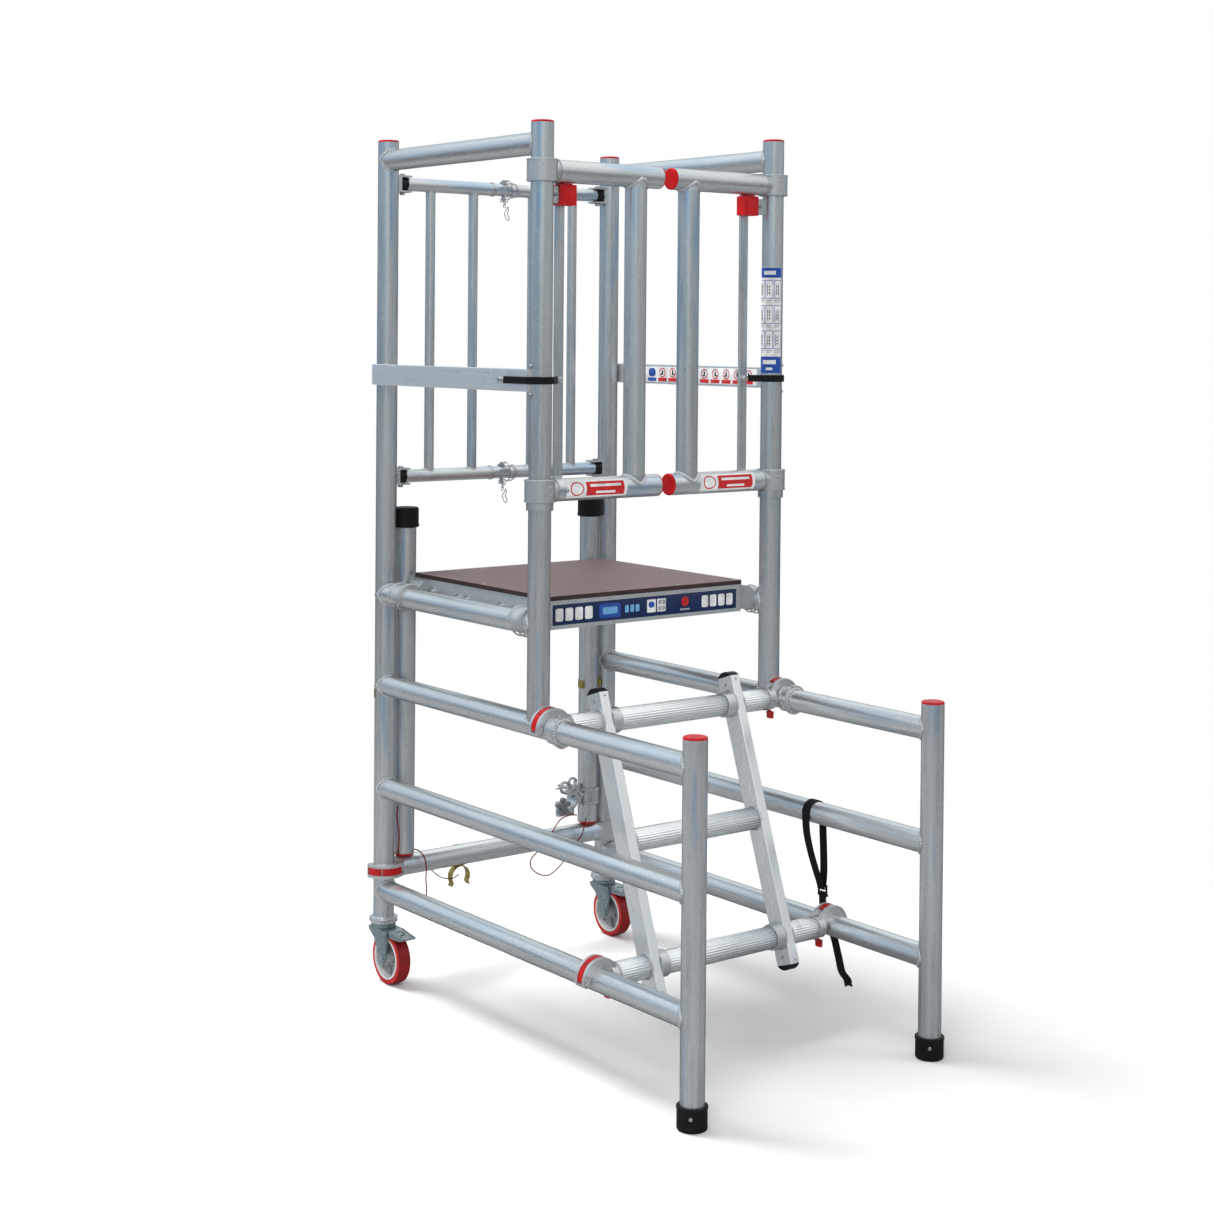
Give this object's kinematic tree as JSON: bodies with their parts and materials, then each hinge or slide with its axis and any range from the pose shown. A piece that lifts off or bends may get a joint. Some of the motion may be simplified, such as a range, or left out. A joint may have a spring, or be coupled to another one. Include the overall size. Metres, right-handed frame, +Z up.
{
  "type": "mobile scaffold tower",
  "caption": "Podium-step scaffold tower: aluminium side frames on castors and feet, guarded deck with inward gates, ladder unit, rear brace and stowed stabilisers.",
  "frame": {"origin": "floor level, centre of the overall footprint", "axes": "+Z up, -Y towards the ladder and gates, +X to the right as seen from the front"},
  "size_m": [0.7688, 1.2402, 2.049],
  "materials": {
    "left_posts": "satin, drawn lengthwise",
    "right_posts": "satin, drawn lengthwise",
    "left_rails": "satin, drawn lengthwise",
    "right_rails": "satin, drawn lengthwise",
    "side_bars": "satin, drawn lengthwise",
    "tube_caps": "moulded",
    "rubber_feet": "matt",
    "frame_fasteners": "bright zinc plate",
    "gate_stops": "moulded",
    "gate_cords": "matt",
    "zinc_brackets": "bright zinc plate",
    "deck_board": "phenolic film, fine anti-slip texture",
    "deck_beams": "satin, drawn lengthwise",
    "deck_hooks": "cast, matt",
    "guard_left_section": "satin, drawn lengthwise",
    "guard_right_section": "satin, drawn lengthwise",
    "guard_plugs": "moulded",
    "guard_pins": "bright zinc plate",
    "stabiliser_tubes": "satin, drawn lengthwise",
    "stabiliser_feet": "matt",
    "stabiliser_clips": "yellow passivated",
    "stabiliser_clamp": "bright zinc plate",
    "tie_strap": "woven",
    "strap_buckle": "moulded",
    "lanyards": "braided",
    "left_gate_tubes": "satin, drawn lengthwise",
    "left_gate_collars": "cast, matt",
    "left_gate_caps": "moulded",
    "right_gate_tubes": "satin, drawn lengthwise",
    "right_gate_collars": "cast, matt",
    "right_gate_caps": "moulded",
    "ladder_stiles": "satin, drawn lengthwise",
    "ladder_end_caps": "moulded",
    "ladder_tubes": "satin, drawn lengthwise",
    "ladder_sockets": "cast, matt",
    "ladder_claws": "cast, matt",
    "ladder_latch_lower_left": "moulded",
    "ladder_latch_lower_right": "moulded",
    "ladder_latch_upper_left": "moulded",
    "ladder_latch_upper_right": "moulded",
    "brace_tube": "satin, drawn lengthwise",
    "brace_collar": "cast, matt",
    "brace_claw": "cast, matt",
    "brace_latch": "moulded",
    "brace_clip": "yellow passivated",
    "guard_bail_upper": "bright wire",
    "guard_bail_lower": "bright wire",
    "windlock_front_left": "bright wire",
    "windlock_front_right": "bright wire",
    "windlock_rear_left": "bright wire",
    "windlock_rear_right": "bright wire",
    "left_castor_fork": "bright zinc plate",
    "left_castor_hub": "moulded",
    "left_castor_tyre": "cast polyurethane",
    "left_castor_pedal": "bright zinc plate",
    "right_castor_fork": "bright zinc plate",
    "right_castor_hub": "moulded",
    "right_castor_tyre": "cast polyurethane",
    "right_castor_pedal": "bright zinc plate",
    "clamp_knob": "moulded"
  },
  "bodies": {
    "frame": {"left_posts": "left_posts", "right_posts": "right_posts", "left_rails": "left_rails", "right_rails": "right_rails", "side_bars": "side_bars", "tube_caps": "tube_caps", "rubber_feet": "rubber_feet", "frame_fasteners": "frame_fasteners", "gate_stops": "gate_stops", "gate_cords": "gate_cords", "zinc_brackets": "zinc_brackets", "deck_board": "deck_board", "deck_beams": "deck_beams", "deck_hooks": "deck_hooks", "guard_left_section": "guard_left_section", "guard_right_section": "guard_right_section", "guard_plugs": "guard_plugs", "guard_pins": "guard_pins", "stabiliser_tubes": "stabiliser_tubes", "stabiliser_feet": "stabiliser_feet", "stabiliser_clips": "stabiliser_clips", "stabiliser_clamp": "stabiliser_clamp", "tie_strap": "tie_strap", "strap_buckle": "strap_buckle", "lanyards": "lanyards"},
    "left_gate": {"left_gate_tubes": "left_gate_tubes", "left_gate_collars": "left_gate_collars", "left_gate_caps": "left_gate_caps"},
    "right_gate": {"right_gate_tubes": "right_gate_tubes", "right_gate_collars": "right_gate_collars", "right_gate_caps": "right_gate_caps"},
    "ladder": {"ladder_stiles": "ladder_stiles", "ladder_end_caps": "ladder_end_caps", "ladder_tubes": "ladder_tubes", "ladder_sockets": "ladder_sockets", "ladder_claws": "ladder_claws"},
    "brace": {"brace_tube": "brace_tube", "brace_collar": "brace_collar", "brace_claw": "brace_claw", "brace_clip": "brace_clip"},
    "brace_latch": {"brace_latch": "brace_latch"},
    "clamp_knob": {"clamp_knob": "clamp_knob"},
    "ladder_latch_lower_left": {"ladder_latch_lower_left": "ladder_latch_lower_left"},
    "ladder_latch_lower_right": {"ladder_latch_lower_right": "ladder_latch_lower_right"},
    "ladder_latch_upper_left": {"ladder_latch_upper_left": "ladder_latch_upper_left"},
    "ladder_latch_upper_right": {"ladder_latch_upper_right": "ladder_latch_upper_right"},
    "guard_bail_upper": {"guard_bail_upper": "guard_bail_upper"},
    "guard_bail_lower": {"guard_bail_lower": "guard_bail_lower"},
    "windlock_front_left": {"windlock_front_left": "windlock_front_left"},
    "windlock_front_right": {"windlock_front_right": "windlock_front_right"},
    "windlock_rear_left": {"windlock_rear_left": "windlock_rear_left"},
    "windlock_rear_right": {"windlock_rear_right": "windlock_rear_right"},
    "left_castor": {"left_castor_fork": "left_castor_fork"},
    "left_wheel": {"left_castor_hub": "left_castor_hub", "left_castor_tyre": "left_castor_tyre"},
    "left_pedal": {"left_castor_pedal": "left_castor_pedal"},
    "right_castor": {"right_castor_fork": "right_castor_fork"},
    "right_wheel": {"right_castor_hub": "right_castor_hub", "right_castor_tyre": "right_castor_tyre"},
    "right_pedal": {"right_castor_pedal": "right_castor_pedal"}
  },
  "joints": [
    {"name": "left_gate_swing", "type": "hinge", "parent": "frame", "child": "left_gate", "pos_m": [-0.34, -0.05385, 1.6], "axis": [0, 0, 1], "range_deg": [0, 80], "stiffness_Nm_per_rad": 1.5},
    {"name": "right_gate_swing", "type": "hinge", "parent": "frame", "child": "right_gate", "pos_m": [0.34, -0.05385, 1.6], "axis": [0, 0, -1], "range_deg": [0, 80], "stiffness_Nm_per_rad": 1.5},
    {"name": "ladder_lift", "type": "slide", "parent": "frame", "child": "ladder", "axis": [0, 0, 1], "range_m": [0, 0.12]},
    {"name": "ladder_latch_lower_left_slip", "type": "hinge", "parent": "ladder", "child": "ladder_latch_lower_left", "pos_m": [-0.337, -0.26985, 0.22], "axis": [0, 1, 0], "range_deg": [0, 14]},
    {"name": "ladder_latch_lower_right_slip", "type": "hinge", "parent": "ladder", "child": "ladder_latch_lower_right", "pos_m": [0.337, -0.26985, 0.22], "axis": [0, -1, 0], "range_deg": [0, 14]},
    {"name": "ladder_latch_upper_left_slip", "type": "hinge", "parent": "ladder", "child": "ladder_latch_upper_left", "pos_m": [-0.337, -0.09585, 0.722], "axis": [0, 1, 0], "range_deg": [0, 14]},
    {"name": "ladder_latch_upper_right_slip", "type": "hinge", "parent": "ladder", "child": "ladder_latch_upper_right", "pos_m": [0.337, -0.09585, 0.722], "axis": [0, -1, 0], "range_deg": [0, 14]},
    {"name": "brace_swing", "type": "hinge", "parent": "frame", "child": "brace", "pos_m": [0.34, 0.58615, 0.272], "axis": [0, 0, 1], "range_deg": [0, 75]},
    {"name": "brace_latch_slip", "type": "hinge", "parent": "brace", "child": "brace_latch", "pos_m": [-0.337, 0.58615, 0.272], "axis": [0, 0, 1], "range_deg": [0, 14]},
    {"name": "guard_bail_upper_flip", "type": "hinge", "parent": "frame", "child": "guard_bail_upper", "pos_m": [0.0125, 0.58615, 1.969], "axis": [-1, 0, 0], "range_deg": [0, 110]},
    {"name": "guard_bail_lower_flip", "type": "hinge", "parent": "frame", "child": "guard_bail_lower", "pos_m": [0.0125, 0.58615, 1.254], "axis": [-1, 0, 0], "range_deg": [0, 110]},
    {"name": "windlock_front_left_open", "type": "hinge", "parent": "frame", "child": "windlock_front_left", "pos_m": [-0.31557, -0.00185, 0.92492], "axis": [0, -1, 0], "range_deg": [0, 60]},
    {"name": "windlock_front_right_open", "type": "hinge", "parent": "frame", "child": "windlock_front_right", "pos_m": [0.31557, -0.00185, 0.92492], "axis": [0, 1, 0], "range_deg": [0, 60]},
    {"name": "windlock_rear_left_open", "type": "hinge", "parent": "frame", "child": "windlock_rear_left", "pos_m": [-0.31557, 0.50015, 0.92492], "axis": [0, -1, 0], "range_deg": [0, 60]},
    {"name": "windlock_rear_right_open", "type": "hinge", "parent": "frame", "child": "windlock_rear_right", "pos_m": [0.31557, 0.50015, 0.92492], "axis": [0, 1, 0], "range_deg": [0, 60]},
    {"name": "left_castor_swivel", "type": "hinge", "parent": "frame", "child": "left_castor", "pos_m": [-0.34, 0.58615, 0.136], "axis": [0, 0, 1], "continuous": true},
    {"name": "left_wheel_spin", "type": "hinge", "parent": "left_castor", "child": "left_wheel", "pos_m": [-0.34, 0.54815, 0.0625], "axis": [1, 0, 0], "continuous": true},
    {"name": "left_pedal_press", "type": "hinge", "parent": "left_castor", "child": "left_pedal", "pos_m": [-0.34, 0.54015, 0.118], "axis": [1, 0, 0], "range_deg": [0, 12]},
    {"name": "right_castor_swivel", "type": "hinge", "parent": "frame", "child": "right_castor", "pos_m": [0.34, 0.58615, 0.136], "axis": [0, 0, 1], "continuous": true},
    {"name": "right_wheel_spin", "type": "hinge", "parent": "right_castor", "child": "right_wheel", "pos_m": [0.34, 0.54815, 0.0625], "axis": [1, 0, 0], "continuous": true},
    {"name": "right_pedal_press", "type": "hinge", "parent": "right_castor", "child": "right_pedal", "pos_m": [0.34, 0.54015, 0.118], "axis": [1, 0, 0], "range_deg": [0, 12]},
    {"name": "clamp_knob_turn", "type": "hinge", "parent": "frame", "child": "clamp_knob", "pos_m": [0.172, 0.55195, 0.362], "axis": [0, -1, 0], "continuous": true}
  ]
}
